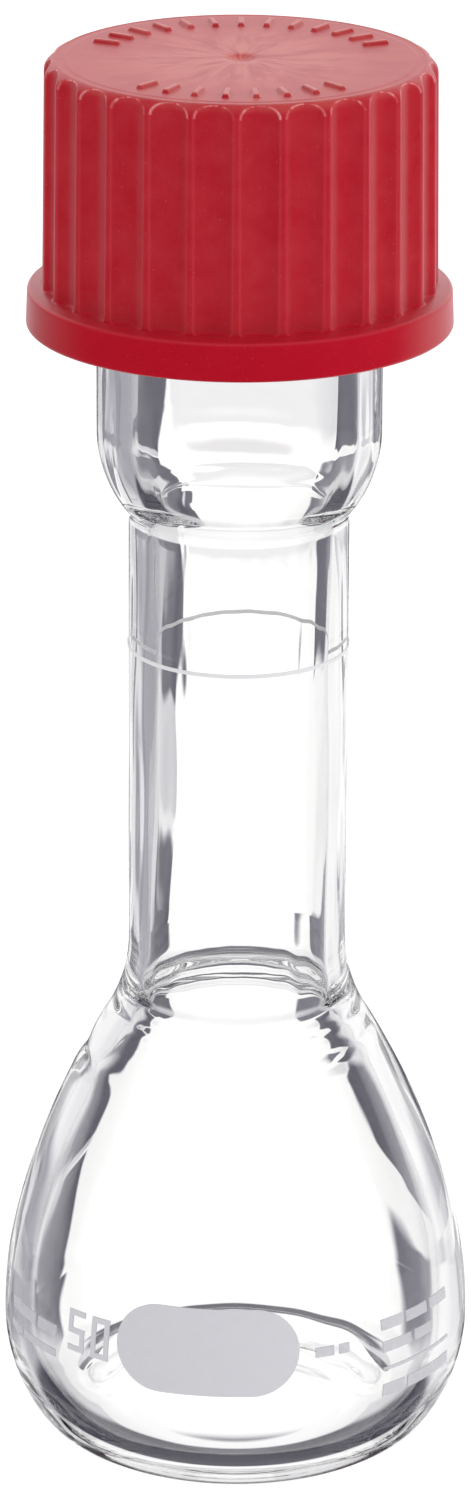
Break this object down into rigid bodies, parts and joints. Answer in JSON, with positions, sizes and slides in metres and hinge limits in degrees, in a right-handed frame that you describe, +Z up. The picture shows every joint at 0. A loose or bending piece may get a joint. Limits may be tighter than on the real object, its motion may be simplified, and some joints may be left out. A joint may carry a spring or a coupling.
{
  "type": "volumetric flask",
  "caption": "Heavy-walled volumetric flask with a pear-shaped bulb, a wide neck with a graduation ring and a fluted red screw cap with a seal that unscrews and lifts off.",
  "frame": {"origin": "centre of the foot's resting plane, on the flask's axis", "axes": "+Z up the flask's axis, -Y towards the side with the write-on spot, +X to the right when looking at that side"},
  "size_m": [0.0464, 0.0465, 0.1414],
  "materials": {
    "glass": "clear, fire-polished borosilicate glass",
    "enamel": "fired matt enamel, pale grey",
    "cap_red": "moulded PBT, red, satin",
    "silicone": "soft, translucent white silicone",
    "ptfe": "smooth, waxy film"
  },
  "bodies": {
    "flask": {"flask_body": "glass", "graduation_ring": "enamel", "marking_spot": "enamel", "capacity_mark": "enamel", "maker_bars": "enamel", "thread_bars": "enamel", "batch_bars": "enamel"},
    "seal": {"sealing_disc": "silicone", "ptfe_facing": "ptfe"},
    "cap": {"screw_cap": "cap_red"}
  },
  "joints": [
    {"name": "cap_rise", "type": "slide", "parent": "flask", "child": "seal", "axis": [0, 0, 1], "range_m": [0, 0.0221]},
    {"name": "cap_turn", "type": "hinge", "parent": "seal", "child": "cap", "pos_m": [0, 0, 0.125], "axis": [0, 0, 1], "range_deg": [0, 1980]}
  ],
  "couplings": [
    {"joint": "cap_rise", "follows": "cap_turn", "m_per_rad": 0.00063662}
  ]
}
